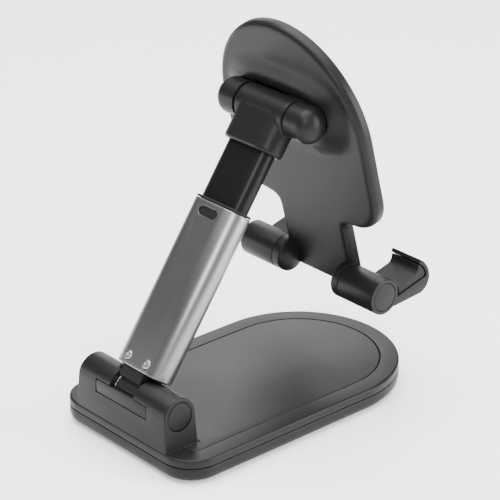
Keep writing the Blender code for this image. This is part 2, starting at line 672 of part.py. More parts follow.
def plate_outline(inset=0.0):
    """Shield outline of the head: an arched top, two wings, and a narrow neck below them."""
    side = []
    half = PLATE_HALF - inset
    rise = PLATE_TOP - PLATE_ARCH_Z - inset
    neck = NECK_HALF - inset
    wing = WING_BOTTOM + inset
    corner = WING_CORNER - inset
    fillet = NECK_FILLET + inset
    foot = PLATE_BOTTOM + inset
    for step in range(18):
        angle = radians(90.0 - 90.0 * step / 18)
        side.append((half * cos(angle), PLATE_ARCH_Z + rise * sin(angle)))
    side[0] = (0.0, PLATE_ARCH_Z + rise)
    side.append((half, PLATE_ARCH_Z))
    side += arc((half - corner, wing + corner), corner, 0, -90, 10)
    side += arc((neck + fillet, wing - WING_SLOPE - fillet), fillet, 90, 180, 6)
    side += arc((neck - NECK_CORNER, foot + NECK_CORNER), NECK_CORNER, 0, -90, 4)
    return side + [(-x, z) for x, z in reversed(side[1:])]


def make_plate():
    """Back plate of the head with its barrel cradle, pad recess and the two hook knuckles."""
    plate = slab("head_plate", [plate_outline()], -PLATE_BACK, -PLATE_FRONT, (0, 0, 0), UPRIGHT,
                 HEAD, PALETTE["shell"])
    round_rim(plate, -PLATE_BACK, 2.2 * MM, 3)
    round_rim(plate, -PLATE_FRONT, 0.6 * MM, 1)
    join(plate, make_cradle())
    for name, turn in (("right", RIGHT), ("left", LEFT)):
        join(plate, turned(f"hook_knuckle_{name}", knuckle_profile(),
                           (0, HOOK_AXIS_Y, HOOK_AXIS_Z), turn, HEAD))
    cut(plate,
        box("collar_channel", (-COLLAR_SWING_HALF, PLATE_BACK + GAP / 6, WING_BOTTOM),
            (COLLAR_SWING_HALF, BARREL_RADIUS, 0), HEAD),
        box("collar_swing", (-COLLAR_SWING_HALF, -4.6 * MM, -0.5 * MM),
            (COLLAR_SWING_HALF, 5.2 * MM, PLATE_TOP), HEAD),
        slab("face_pad_recess", [plate_outline(FACE_PAD_INSET)], -PLATE_FRONT - FACE_PAD_DEPTH,
             -PLATE_FRONT + FACE_PAD_DEPTH, (0, 0, 0), UPRIGHT, HEAD),
        rod("cradle_middle", BARREL_RADIUS + 2 * GAP, -CAP_START, CAP_START, (0, 0, 0), RIGHT,
            HEAD, segments=36))
    for name, turn in (("right", RIGHT), ("left", LEFT)):
        cut(plate, turned(f"cradle_cut_{name}", cap_profile(growth=GAP), (0, 0, 0), turn, HEAD,
                          steps=36))
        cut(plate, rod(f"knuckle_pin_hole_{name}", HOOK_PIN_RADIUS + AXLE_CLEARANCE,
                       HOOK_PIN_START - GAP, TRAY_START, (0, HOOK_AXIS_Y, HOOK_AXIS_Z), turn,
                       HEAD, segments=24))
        side = 1 if name == "right" else -1
        cut(plate, rod(f"cap_screw_hole_{name}", 1.0 * MM, BARREL_RADIUS - 2 * GAP,
                       -PLATE_FRONT, (side * CAP_SCREW_X, 0, 0), UPRIGHT, HEAD, segments=20))
        cut(plate, rod(f"cap_screw_seat_{name}", 2.1 * MM, CAP_SCREW_SEAT,
                       GAP - PLATE_FRONT, (side * CAP_SCREW_X, 0, 0), UPRIGHT, HEAD,
                       segments=20))


def make_cradle():
    """Soft swelling on the plate's back that the head's barrel is sunk into."""
    mesh = bpy.data.meshes.new("barrel_cradle")
    shape = bmesh.new()
    bmesh.ops.create_uvsphere(shape, u_segments=36, v_segments=18, radius=1.0)
    bmesh.ops.scale(shape, vec=CRADLE_SIZE, verts=shape.verts)
    everything = list(shape.verts) + list(shape.edges) + list(shape.faces)
    bmesh.ops.bisect_plane(shape, geom=everything, plane_co=(0, -0.9 * MM, 0),
                           plane_no=(0, 1, 0), clear_inner=True)
    bmesh.ops.holes_fill(shape, edges=shape.edges)
    shape.to_mesh(mesh)
    shape.free()
    return place("barrel_cradle", mesh, HEAD, CRADLE_CENTRE, FLAT)


def knuckle_profile():
    """Half outline of a hook knuckle: a short barrel with a domed inner end."""
    points = [(0.0, NECK_HALF), (HOOK_RADIUS, NECK_HALF)]
    for step in range(7):
        angle = pi / 2 * step / 6
        points.append((HOOK_RADIUS * cos(angle), DOME_START - (DOME_START - DOME_TIP) * sin(angle)))
    points[-1] = (0.0, DOME_TIP)
    return points


def make_face_pad():
    """Silicone pad on the plate's front that the phone leans on."""
    inset = FACE_PAD_INSET + GAP
    deep = -PLATE_FRONT - FACE_PAD_DEPTH + WASHER_PLAY
    pad = slab("face_pad", [plate_outline(inset)], deep, deep + FACE_PAD_THICKNESS, (0, 0, 0),
               UPRIGHT, HEAD, PALETTE["rubber"])
    round_rim(pad, deep + FACE_PAD_THICKNESS, FINE_ROUND, 1)
    for name, side in (("right", 1), ("left", -1)):
        plain_screw(f"cap_screw_{name}", 1.8 * MM, 0.8 * MM, 0.8 * MM, 3.6 * MM,
                    (side * CAP_SCREW_X, -CAP_SCREW_FACE, 0), UPRIGHT, HEAD, PALETTE["steel"])


# ---------------------------------------------------------------- hooks

def tray_outline():
    """Side outline of the J-shaped tray, from inside its barrel round the lip and back."""
    corner_z = TRAY_BOTTOM + TRAY_CORNER
    inner = LIP_RADIUS - LIP_THICKNESS
    lip = (LIP_CENTRE_Y, corner_z)
    points = [(0.0, TRAY_FLOOR), (0.0, TRAY_ROOT)]
    points += arc((TRAY_CORNER_Y, corner_z), TRAY_CORNER, -90, -176, 7)
    points += arc(lip, LIP_RADIUS, 180, LIP_END, 6)
    points += arc(lip, inner, LIP_END, 172, 6)
    return points + arc((1.0 * MM + LIP_CENTRE_Y - inner, TRAY_FLOOR + 1.0 * MM), 1.0 * MM,
                        210, 270, 2)


def liner_outline():
    """Side outline of the silicone liner lying on the tray's floor and up its lip."""
    outer = LIP_RADIUS - LIP_THICKNESS - GAP
    lip = (LIP_CENTRE_Y, TRAY_BOTTOM + TRAY_CORNER)
    fillet = (LINER_LIP_Y + LINER_CORNER, LINER_TOP + LINER_CORNER)
    points = [(LINER_START_Y, LINER_TOP), (LINER_START_Y, TRAY_FLOOR + GAP)]
    points += arc((LIP_CENTRE_Y - outer + 1.3 * MM, TRAY_FLOOR + GAP + 1.3 * MM), 1.3 * MM,
                  270, 190, 3)
    points += arc(lip, outer, 172, LIP_END + 6, 5)
    return points + arc(fillet, LINER_CORNER, 180, 270, 5)


def make_hook(name, side):
    """One folding hook: barrel and tray, liner, pivot pin, spring washer and end disc."""
    frame = HOOKS[name]
    turn = RIGHT if side > 0 else LEFT
    low, high = sorted((side * TRAY_START, side * HOOK_END))
    hook = slab(f"hook_{name}", [tray_outline()], low, high, (0, 0, 0), ACROSS, frame,
                PALETTE["shell"])
    join(hook, rod(f"hook_barrel_{name}", HOOK_RADIUS, HOOK_BARREL_START, HOOK_END - 0.02 * MM,
                   (0, 0, 0), turn, frame, segments=40))
    cut(hook,
        rod(f"hook_bore_{name}", HOOK_PIN_RADIUS + AXLE_CLEARANCE, 0, 2 * HOOK_END, (0, 0, 0),
            turn, frame, segments=24),
        rod(f"hook_pocket_{name}", HOOK_POCKET_RADIUS, HOOK_POCKET_START, 2 * HOOK_END,
            (0, 0, 0), turn, frame, segments=24),
        rod(f"hook_disc_seat_{name}", CAP_DISC_RADIUS + GAP / 2,
            HOOK_END - HOOK_DISC_THICKNESS - GAP, 2 * HOOK_END, (0, 0, 0), turn, frame,
            segments=40))
    low, high = sorted((side * (TRAY_START + LINER_SIDE_GAP), side * (HOOK_END - LINER_SIDE_GAP)))
    slab(f"hook_liner_{name}", [liner_outline()], low, high, (0, 0, 0), ACROSS, frame,
         PALETTE["rubber"])
    pin = [(0.0, HOOK_PIN_END), (HOOK_PIN_HEAD_RADIUS, HOOK_PIN_END),
           (HOOK_PIN_HEAD_RADIUS, HOOK_PIN_HEAD_START), (HOOK_PIN_RADIUS, HOOK_PIN_HEAD_START),
           (HOOK_PIN_RADIUS, HOOK_PIN_START), (0.0, HOOK_PIN_START)]
    turned(f"hook_pin_{name}", pin, (0, HOOK_AXIS_Y, HOOK_AXIS_Z), turn, HEAD, PALETTE["steel"],
           steps=24)
    washer_start = HOOK_POCKET_START + GAP
    low, high = sorted((side * washer_start, side * (washer_start + WASHER_THICKNESS)))
    washer(f"hook_washer_{name}", HOOK_PIN_HEAD_RADIUS, HOOK_PIN_RADIUS + AXLE_CLEARANCE, low,
           high, (0, HOOK_AXIS_Y, HOOK_AXIS_Z), HEAD, PALETTE["steel"])
    disc = rod(f"hook_end_disc_{name}", CAP_DISC_RADIUS, HOOK_END - HOOK_DISC_THICKNESS,
               HOOK_END, (0, 0, 0), turn, frame, PALETTE["shell"], segments=40)
    round_rim(disc, HOOK_END, FINE_ROUND, 1)


# ---------------------------------------------------------------- assembly

for leftover in list(bpy.data.objects):
    bpy.data.objects.remove(leftover)

PARTS = bpy.data.collections.new("foldable_phone_stand")
CUTTERS = bpy.data.collections.new("cutters")
bpy.context.scene.collection.children.link(PARTS)
bpy.context.scene.collection.children.link(CUTTERS)
PALETTE = make_materials()

HINGE = new_frame("hinge_axis", (0, HINGE_Y, HINGE_Z), 0.0)
ARM = new_frame("arm_axis", (0, HINGE_Y, HINGE_Z), ARM_LEAN)
HEAD = new_frame("head_axis", (0, HINGE_Y - HEAD_AXIS_S * sin(ARM_LEAN),
                               HINGE_Z + HEAD_AXIS_S * cos(ARM_LEAN)), HEAD_LEAN)
HOOKS = {name: new_frame(f"hook_axis_{name}", (0, HOOK_AXIS_Y, HOOK_AXIS_Z), 0.0)
         for name in ("right", "left")}
for hook_frame in HOOKS.values():
    hook_frame.parent = HEAD

make_bottom_shell()
make_anti_slip_pad()
make_weight_plate()
make_top_shell()
make_inlay()
make_base_screws()
make_rear_cover()
make_hinge_hardware()
make_bracket()
make_outer_tube()
make_arm_trim()
make_inner_rod()
make_collar()
make_head_barrel()
make_plate()
make_face_pad()
make_hook("right", 1)
make_hook("left", -1)
bpy.context.view_layer.update()
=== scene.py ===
"""Looks of the foldable phone stand: finer shells, finishes, floor, light and camera."""

import json
from math import acos, atan2, cos, pi, radians, sin

import bpy
from mathutils import Matrix, Vector


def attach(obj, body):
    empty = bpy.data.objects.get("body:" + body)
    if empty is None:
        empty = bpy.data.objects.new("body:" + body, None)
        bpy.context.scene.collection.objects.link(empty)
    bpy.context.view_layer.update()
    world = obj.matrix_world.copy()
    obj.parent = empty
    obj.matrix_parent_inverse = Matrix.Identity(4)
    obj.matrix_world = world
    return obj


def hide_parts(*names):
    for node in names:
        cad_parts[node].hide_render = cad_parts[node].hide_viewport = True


bl_info = {
    "name": "Foldable phone stand",
    "version": (1, 0, 0),
    "blender": (4, 5, 0),
    "location": "View3D > Sidebar > Phone stand",
    "description": "Finishes the pieces of a foldable phone stand and sets up its studio",
    "category": "Object",
}

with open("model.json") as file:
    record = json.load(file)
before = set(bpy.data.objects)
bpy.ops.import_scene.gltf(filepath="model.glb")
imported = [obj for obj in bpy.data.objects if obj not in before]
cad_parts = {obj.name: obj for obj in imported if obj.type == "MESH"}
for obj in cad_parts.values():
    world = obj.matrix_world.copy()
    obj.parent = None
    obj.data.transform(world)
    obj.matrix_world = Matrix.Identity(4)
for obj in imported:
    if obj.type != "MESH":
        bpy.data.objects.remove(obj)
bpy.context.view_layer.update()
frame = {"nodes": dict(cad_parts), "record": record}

MM = 0.001
GAP = 0.3 * MM
ROUNDING_ERROR = 0.01 * MM
SKIN = 0.02 * MM
FINE_ROUND = 0.15 * MM
SMALL_ROUND = 0.2 * MM
PIECE_ROUND = 0.3 * MM

# Base
BASE_HALF = 34.6 * MM
BASE_REAR_Y = 57.4 * MM
FRONT_CENTRE_Y = -22.4 * MM
BASE_CORNER = 11.5 * MM
SHELL_BOTTOM_Z = 0.6 * MM
PAD_RECESS_Z = 1.4 * MM
PAD_INSET = 5.5 * MM
FLOOR_TOP_Z = 3.4 * MM
SHELL_SPLIT = (5.7 * MM, 6.0 * MM)
BASE_TOP_Z = 8.8 * MM
WALL = 3.2 * MM
UNDER_ROUND = 2.8 * MM
RIM_ROUND = 0.7 * MM
INLAY_HALF = 27.9 * MM
INLAY_REAR_Y = 49.0 * MM
INLAY_CORNER = 2.0 * MM
INLAY_BOTTOM_Z = 7.7 * MM
NOTCH_HALF = 23.5 * MM
NOTCH_Y = 43.1 * MM
BEYOND_REAR_Y = 60.0 * MM
ABOVE_BASE_Z = 20.0 * MM

# Main hinge
HINGE_Y = 50.3 * MM
HINGE_Z = 19.8 * MM
BARREL_RADIUS = 6.35 * MM
EAR_HALF = 22.5 * MM
BLOCK_DEPTH = 12.95 * MM
FOOT_FLARE = 0.5 * MM
FOOT_DRAFT = 0.035
BLOCK_ROUND = 0.45 * MM
SLOT_HALF = 6.2 * MM
SLOT_FLOOR = -6.6 * MM
SLOT_WALL = 4.9 * MM
WINDOW_WALL = 4.6 * MM
COVER_HALF = 12.9 * MM
COVER_BOTTOM = -2.35 * MM
COVER_TOP = 1.85 * MM
COVER_INNER_Y = 5.2 * MM
AXLE_BORE = 2.15 * MM
DISC_RADIUS = 4.9 * MM
DISC_SEAT = 5.05 * MM
DISC_START = 21.4 * MM
POCKET_START = 18.6 * MM

# Arm
ARM_LEAN = radians(35.2)
ARM_OFFSET = 0.4 * MM
TUBE_SIZE = (22.6 * MM, 11.2 * MM)
TUBE_WALL = 1.2 * MM
TUBE_ROUND = 0.25 * MM
TUBE_SPAN = (7.1 * MM, 66.6 * MM)
RING_SIZE = (22.4 * MM, 11.0 * MM)
RING_HOLE = (20.0 * MM, 8.7 * MM)
RING_SPAN = (66.8 * MM, 67.6 * MM)
ROD_SIZE = (19.4 * MM, 8.1 * MM)
ROD_WALL = 1.6 * MM
ROD_SPAN = (37.0 * MM, 95.0 * MM)
BRACKET_SCREW_X = 4.65 * MM
BRACKET_SCREW_S = 10.15 * MM
BRACKET_SCREW_RADIUS = 1.75 * MM
STOP_S = 63.1 * MM
STOP_REACH = 2.7 * MM
STOP_RADIUS = 1.65 * MM
COLLAR_SIZE = (23.6 * MM, 12.2 * MM)
COLLAR_SPAN = (88.3 * MM, 101.0 * MM)
COLLAR_ROUND = 1.0 * MM
COLLAR_BLEND = 0.3 * MM
MIDDLE_BARREL_HALF = 11.5 * MM
HEAD_AXIS_S = 102.4 * MM

# Head
HEAD_LEAN = radians(-14.5)
PLATE_BACK = -6.8 * MM
PLATE_FRONT = -11.4 * MM
PLATE_HALF = 34.5 * MM
PLATE_RISE = 36.0 * MM
PLATE_ARCH_Z = -8.0 * MM
WING_CORNER = 13.0 * MM
WING_BOTTOM = -43.5 * MM
WING_SLOPE = 0.4 * MM
NECK_HALF = 16.3 * MM
NECK_FILLET = 3.0 * MM
NECK_CORNER = 3.6 * MM
PLATE_BOTTOM = -71.6 * MM
PLATE_STEPS = 300
BACK_ROUND = 2.2 * MM
FRONT_ROUND = 0.6 * MM
PAD_FLOOR = 10.6 * MM
PAD_EDGE = 2.5 * MM
RECESS_LIP = (2.35 * MM, 2.45 * MM)
RECESS_CHAMFER = 0.1 * MM
SWELL_HEIGHT = 3.7 * MM
SWELL_DROP = 1.55 * MM
SWELL_DROP_OVER = 6.0 * MM
SWELL_CENTRE = -1.0 * MM
SWELL_HALF = 30.0 * MM
SWELL_UP = 15.5 * MM
SWELL_DOWN = 17.5 * MM
SWELL_BEND = 2.8
SWELL_FLANK = 0.42
SWING_HALF = 12.2 * MM
SWING_BACK = 5.2 * MM
SWING_FRONT = -4.6 * MM
SWING_BOTTOM = -0.5 * MM
SWING_REACH = 30.0 * MM
CHANNEL_FLOOR = -6.75 * MM
CAP_START = 12.4 * MM
CAP_SHOULDER = 18.2 * MM
CAP_TIP = 23.0 * MM
CAP_POCKET = (4.3 * MM, 10.0 * MM, 17.6 * MM)

# Hooks
HOOK_AXIS_Y = -5.1 * MM
HOOK_AXIS_Z = -66.5 * MM
HOOK_RADIUS = 6.27 * MM
HOOK_START = 16.6 * MM
HOOK_END = 33.1 * MM
TRAY_START = 19.4 * MM
TRAY_ROOT = -5.3 * MM
TRAY_FLOOR = -3.2 * MM
TRAY_CORNER = 5.6 * MM
TRAY_CORNER_Y = -15.6 * MM
TRAY_INNER_ROUND = 1.0 * MM
TRAY_ROUND = 0.35 * MM
LIP_CENTRE_Y = -11.95 * MM
LIP_CENTRE_Z = -2.4 * MM
LIP_RADIUS = 9.25 * MM
LIP_THICKNESS = 1.4 * MM
LIP_END = 134
LINER_START_Y = -6.8 * MM
LINER_INNER_ROUND = 1.3 * MM
LINER_CORNER = 2.5 * MM
LINER_CORNER_Y = -14.6 * MM
LINER_SIDE_GAP = 0.4 * MM
PIN_BORE = 1.65 * MM
PIN_START = 12.4 * MM
PIN_POCKET = (3.4 * MM, 28.6 * MM)
DISC_THICKNESS = 1.0 * MM
DOME_START = 16.3 * MM
DOME_SHOULDER = 13.6 * MM
DOME_TIP = 11.7 * MM

# Studio
FLOOR_Z = -0.05 * MM
CAMERA_PLACE = (-0.50948, 0.44948, 0.36819)
CAMERA_AIM = (-0.00610, 0.00595, 0.05957)
CAMERA_LENS = 161.5
MIDDLE = (0.0, 0.0, 0.06)
# Each light: name, place, target, size, share of the main light's power
LIGHTS = (
    ("top_light", (0.1, 0.0, 1.1), MIDDLE, (1.2, 1.2), 1.8),
    ("near_light", (-0.75, 0.62, 0.70), MIDDLE, (0.22, 0.5), 0.3),
    ("side_light", (-0.75, -0.5, 0.30), MIDDLE, (0.3, 0.6), 0.5),
    ("far_light", (0.95, -0.80, 0.62), MIDDLE, (0.5, 0.9), 0.26),
    ("low_light", (0.35, 0.45, 0.04), (0.0, 0.05, 0.01), (0.25, 0.07), 0.03),
)

AT_HINGE = Matrix.Translation((0, HINGE_Y, HINGE_Z))
ALONG_ARM = AT_HINGE @ Matrix.Rotation(ARM_LEAN, 4, 'X')
AT_HEAD = ALONG_ARM @ Matrix.Translation((0, 0, HEAD_AXIS_S)) @ Matrix.Rotation(
    HEAD_LEAN - ARM_LEAN, 4, 'X')
AT_HOOK = AT_HEAD @ Matrix.Translation((0, HOOK_AXIS_Y, HOOK_AXIS_Z))
IN_WORLD = Matrix.Identity(4)

FACING_FRONT = Matrix.Rotation(pi / 2, 4, 'X')
FACING_BACK = Matrix.Rotation(-pi / 2, 4, 'X')
FACING_RIGHT = Matrix.Rotation(pi / 2, 4, 'Y')
FACING_LEFT = Matrix.Rotation(-pi / 2, 4, 'Y')
SECTION = Matrix.Rotation(pi / 2, 4, 'Z') @ Matrix.Rotation(pi / 2, 4, 'X')


# ---------------------------------------------------------------- settings

class StandSettings(bpy.types.PropertyGroup):
    """Numbers that a user may want to change before the finishes are made."""
    edge_radius: bpy.props.FloatProperty(
        name="Edge radius", description="How softly moulded edges catch the light",
        default=0.25 * MM, unit='LENGTH')
    edge_wear: bpy.props.FloatProperty(
        name="Edge wear", description="How much lighter the handled edges are", default=0.25)
    light_power: bpy.props.FloatProperty(
        name="Light power", description="Power of the main soft light, in watts", default=26.0)
    floor_size: bpy.props.FloatProperty(
        name="Floor size", description="Side of the studio floor", default=12.0, unit='LENGTH')


# ---------------------------------------------------------------- outlines

def arc(centre, radius, start, end, steps):
    """Points along a circular arc, both ends included, angles in degrees."""
    points = []
    for step in range(steps + 1):
        angle = radians(start + (end - start) * step / steps)
        points.append((centre[0] + radius * cos(angle), centre[1] + radius * sin(angle)))
    return points


def tombstone(half, rear_y, corner):
    """Base outline: a square rear with round corners, and a half-round front."""
    points = arc((half - corner, rear_y - corner), corner, 0, 90, 20)
    points += arc((corner - half, rear_y - corner), corner, 90, 180, 20)
    points += arc((0, FRONT_CENTRE_Y), half, 180, 360, 120)
    return points


def stadium(width, thickness):
    """Outline of a flat bar whose two narrow sides are full half rounds."""
    reach = (width - thickness) / 2
    return (arc((reach, 0), thickness / 2, -90, 90, 40)
            + arc((-reach, 0), thickness / 2, 90, 270, 40))


def plate_outline():
    """Shield outline of the head: an arched top, two wings, and a narrow neck below them."""
    side = []
    for step in range(48):
        angle = radians(90.0 - 90.0 * step / 48)
        side.append((PLATE_HALF * cos(angle), PLATE_ARCH_Z + PLATE_RISE * sin(angle)))
    side[0] = (0.0, PLATE_ARCH_Z + PLATE_RISE)
    side.append((PLATE_HALF, PLATE_ARCH_Z))
    side += arc((PLATE_HALF - WING_CORNER, WING_BOTTOM + WING_CORNER), WING_CORNER, 0, -90, 24)
    side += arc((NECK_HALF + NECK_FILLET, WING_BOTTOM - WING_SLOPE - NECK_FILLET), NECK_FILLET,
                90, 180, 12)
    side += arc((NECK_HALF - NECK_CORNER, PLATE_BOTTOM + NECK_CORNER), NECK_CORNER, 0, -90, 8)
    return [(-x, z) for x, z in side[1:]] + list(reversed(side))


def even_steps(points, count):
    """The same closed outline as evenly spaced points."""
    closed = points + points[:1]
    lengths = [0.0]
    for first, second in zip(closed, closed[1:]):
        lengths.append(lengths[-1] + (Vector(second) - Vector(first)).length)
    result, run = [], 0
    for step in range(count):
        want = lengths[-1] * step / count
        while lengths[run + 1] < want:
            run += 1
        share = (want - lengths[run]) / max(lengths[run + 1] - lengths[run], 1e-9)
        result.append(Vector(closed[run]).lerp(Vector(closed[run + 1]), share))
    return result


# ---------------------------------------------------------------- modelling steps

def deselect():
    """Leave nothing selected, in object mode."""
    if bpy.context.object and bpy.context.object.mode != 'OBJECT':
        bpy.ops.object.mode_set(mode='OBJECT')
    bpy.ops.object.select_all(action='DESELECT')


def activate(thing):
    """Make one object the only selected and the active one."""
    deselect()
    thing.select_set(True)
    bpy.context.view_layer.objects.active = thing


def settle(thing, place):
    """Put an object's shape where it belongs and its origin back at the frame's origin."""
    activate(thing)
    thing.matrix_world = place
    bpy.ops.object.transform_apply(location=True, rotation=True, scale=True)


def extruded(name, outline, start, end):
    """A flat outline extruded from one height to another."""
    deselect()
    bpy.ops.mesh.primitive_circle_add(vertices=len(outline), radius=1.0, fill_type='NGON')
    thing = bpy.context.object
    thing.name = name
    for vertex, (across, along) in zip(thing.data.vertices, outline):
        vertex.co = (across, along, start)
    bpy.ops.object.mode_set(mode='EDIT')
    bpy.ops.mesh.select_all(action='SELECT')
    bpy.ops.mesh.extrude_region_move(TRANSFORM_OT_translate={"value": (0, 0, end - start)})
    bpy.ops.mesh.select_all(action='SELECT')
    bpy.ops.mesh.normals_make_consistent(inside=False)
    bpy.ops.object.mode_set(mode='OBJECT')
    return thing


def round_rim(thing, height, width, segments=5):
    """Round the edges that lie at one height of an extruded piece."""
    activate(thing)
    bpy.context.tool_settings.mesh_select_mode = (False, True, False)
    bpy.ops.object.mode_set(mode='EDIT')
    bpy.ops.mesh.select_all(action='DESELECT')
    bpy.ops.object.mode_set(mode='OBJECT')
    for edge in thing.data.edges:
        ends = [thing.data.vertices[index].co.z for index in edge.vertices]
        edge.select = all(abs(end - height) < ROUNDING_ERROR for end in ends)
    bpy.ops.object.mode_set(mode='EDIT')
    bpy.ops.mesh.bevel(offset=width, segments=segments, affect='EDGES', clamp_overlap=True)
    bpy.ops.object.mode_set(mode='OBJECT')


def cylinder(name, radius, start, end, place, sides=96):
    """A cylinder along the placed Z axis."""
    deselect()
    bpy.ops.mesh.primitive_cylinder_add(vertices=sides, radius=radius, depth=end - start)
    thing = bpy.context.object
    thing.name = name
    settle(thing, place @ Matrix.Translation((0, 0, (start + end) / 2)))
    return thing


def block(name, low, high, place):
    """A box between two corners of a placed frame."""
    deselect()
    bpy.ops.mesh.primitive_cube_add(size=1.0)
    thing = bpy.context.object
    thing.name = name
    low, high = Vector(low), Vector(high)
    settle(thing, place @ Matrix.Translation((low + high) / 2)
           @ Matrix.Diagonal((*(high - low), 1.0)))
    return thing


def combine(thing, other, operation):
    """Apply an exact Boolean and remove the other object."""
    activate(thing)
    step = thing.modifiers.new("step", 'BOOLEAN')
    step.operation = operation
    step.solver = 'EXACT'
    step.object = other
    bpy.ops.object.modifier_apply(modifier="step")
    bpy.data.objects.remove(other)


def cut(thing, *others):
    """Cut other objects away."""
    for other in others:
        combine(thing, other, 'DIFFERENCE')


def join(thing, *others):
    """Join other objects on."""
    for other in others:
        combine(thing, other, 'UNION')


def soften(thing, voxel, passes):
    """Melt joined shapes together so that their inner corners blend."""
    activate(thing)
    remesh = thing.modifiers.new("remesh", 'REMESH')
    remesh.mode = 'VOXEL'
    remesh.voxel_size = voxel
    bpy.ops.object.modifier_apply(modifier="remesh")
    smooth = thing.modifiers.new("smooth", 'SMOOTH')
    smooth.factor = 0.5
    smooth.iterations = passes
    bpy.ops.object.modifier_apply(modifier="smooth")


def finish_piece(thing, material, body, slot, *nodes):
    """Shade a finished piece, give it its material and tie it to the frame."""
    activate(thing)
    bpy.ops.object.shade_smooth_by_angle(angle=radians(32.0))
    thing.data.materials.clear()
    thing.data.materials.append(material)
    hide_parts(*nodes)
    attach(thing, body)


def dress(node, material):
    """Give a carried-over CAD node its finish."""
    thing = frame["nodes"][node]
    thing.data.materials.clear()
    thing.data.materials.append(material)


# ---------------------------------------------------------------- finishes

def make_finish(name, colour, roughness, metallic=0.0, grain=2200.0, bump=0.02 * MM,
                stretch=(1.0, 1.0, 1.0), turn=0.0, wear=1.0, specular=0.16):
    """A procedural finish: fine grain, uneven gloss, soft edges and slight edge wear."""
    settings = bpy.context.scene.stand_settings
    material = bpy.data.materials.new(name)
    material.use_nodes = True
    nodes, link = material.node_tree.nodes, material.node_tree.links.new
    shader = nodes["Principled BSDF"]
    shader.inputs["Metallic"].default_value = metallic
    shader.inputs["Specular IOR Level"].default_value = specular

    place = nodes.new('ShaderNodeTexCoord')
    mapping = nodes.new('ShaderNodeMapping')
    mapping.inputs["Rotation"].default_value = (turn, 0.0, 0.0)
    mapping.inputs["Scale"].default_value = stretch
    link(place.outputs["Object"], mapping.inputs["Vector"])

    fine = nodes.new('ShaderNodeTexNoise')
    fine.inputs["Scale"].default_value = grain
    fine.inputs["Detail"].default_value = 3.0
    link(mapping.outputs["Vector"], fine.inputs["Vector"])
    broad = nodes.new('ShaderNodeTexNoise')
    broad.inputs["Scale"].default_value = 45.0
    broad.inputs["Detail"].default_value = 4.0
    link(place.outputs["Object"], broad.inputs["Vector"])

    gloss = nodes.new('ShaderNodeMapRange')
    gloss.inputs["To Min"].default_value = roughness - 0.05
    gloss.inputs["To Max"].default_value = roughness + 0.05
    link(broad.outputs["Fac"], gloss.inputs["Value"])
    scuff = nodes.new('ShaderNodeMath')
    scuff.operation = 'MULTIPLY_ADD'
    scuff.inputs[1].default_value = 0.06
    link(fine.outputs["Fac"], scuff.inputs[0])
    link(gloss.outputs["Result"], scuff.inputs[2])
    link(scuff.outputs["Value"], shader.inputs["Roughness"])

    soft = nodes.new('ShaderNodeBevel')
    soft.samples = 6
    soft.inputs["Radius"].default_value = settings.edge_radius
    relief = nodes.new('ShaderNodeBump')
    relief.inputs["Strength"].default_value = 0.35
    relief.inputs["Distance"].default_value = bump
    link(fine.outputs["Fac"], relief.inputs["Height"])
    link(soft.outputs["Normal"], relief.inputs["Normal"])
    link(relief.outputs["Normal"], shader.inputs["Normal"])

    flat = nodes.new('ShaderNodeNewGeometry')
    likeness = nodes.new('ShaderNodeVectorMath')
    likeness.operation = 'DOT_PRODUCT'
    link(soft.outputs["Normal"], likeness.inputs[0])
    link(flat.outputs["Normal"], likeness.inputs[1])
    edge = nodes.new('ShaderNodeMapRange')
    edge.inputs["From Min"].default_value = 1.0
    edge.inputs["From Max"].default_value = 0.85
    edge.inputs["To Max"].default_value = settings.edge_wear * wear
    link(likeness.outputs["Value"], edge.inputs["Value"])
    patchy = nodes.new('ShaderNodeMath')
    patchy.operation = 'MULTIPLY'
    link(edge.outputs["Result"], patchy.inputs[0])
    link(broad.outputs["Fac"], patchy.inputs[1])

    shade = nodes.new('ShaderNodeMix')
    shade.data_type = 'RGBA'
    shade.inputs["A"].default_value = (*(part * 0.88 for part in colour), 1.0)
    shade.inputs["B"].default_value = (*(part * 1.12 for part in colour), 1.0)
    link(fine.outputs["Fac"], shade.inputs["Factor"])
    worn = nodes.new('ShaderNodeMix')
    worn.data_type = 'RGBA'
    worn.inputs["B"].default_value = (*(min(part * 2.2 + 0.05, 1.0) for part in colour), 1.0)
    link(shade.outputs["Result"], worn.inputs["A"])
    link(patchy.outputs["Value"], worn.inputs["Factor"])
    link(worn.outputs["Result"], shader.inputs["Base Color"])
    return material


FINISHES = {}


def make_finishes():
    """Make every finish of the stand."""
    along = (1.0, 1.0, 0.03)
    FINISHES.update({
        "black_shell": make_finish("moulded_black", (0.008, 0.008, 0.0084), 0.38),
        "satin_inlay": make_finish("satin_panel", (0.013, 0.013, 0.0135), 0.38,
                                   grain=3000.0, bump=0.012 * MM),
        "black_silicone": make_finish("matt_silicone", (0.009, 0.009, 0.0095), 0.60,
                                      grain=1500.0, wear=0.3, specular=0.2),
        "grey_anodised": make_finish("grey_anodised", (0.24, 0.242, 0.246), 0.32, 1.0,
                                     grain=5000.0, bump=0.008 * MM, stretch=along,
                                     turn=-ARM_LEAN, wear=0.6),
        "black_anodised": make_finish("black_anodised", (0.008, 0.008, 0.009), 0.30, 0.3,
                                      grain=5000.0, bump=0.006 * MM, stretch=along,
                                      turn=-ARM_LEAN, wear=0.8),
        "bright_steel": make_finish("bright_steel", (0.62, 0.62, 0.63), 0.26, 1.0,
                                    grain=4000.0, bump=0.006 * MM, wear=0.2),
        "black_nylon": make_finish("black_nylon", (0.008, 0.008, 0.008), 0.5),
    })


# ---------------------------------------------------------------- base

def base_piece(name, inset, low, high):
    """A layer of the base, following its outline at a distance."""
    outline = tombstone(BASE_HALF - inset, BASE_REAR_Y - inset, BASE_CORNER - inset)
    return extruded(name, outline, low, high)


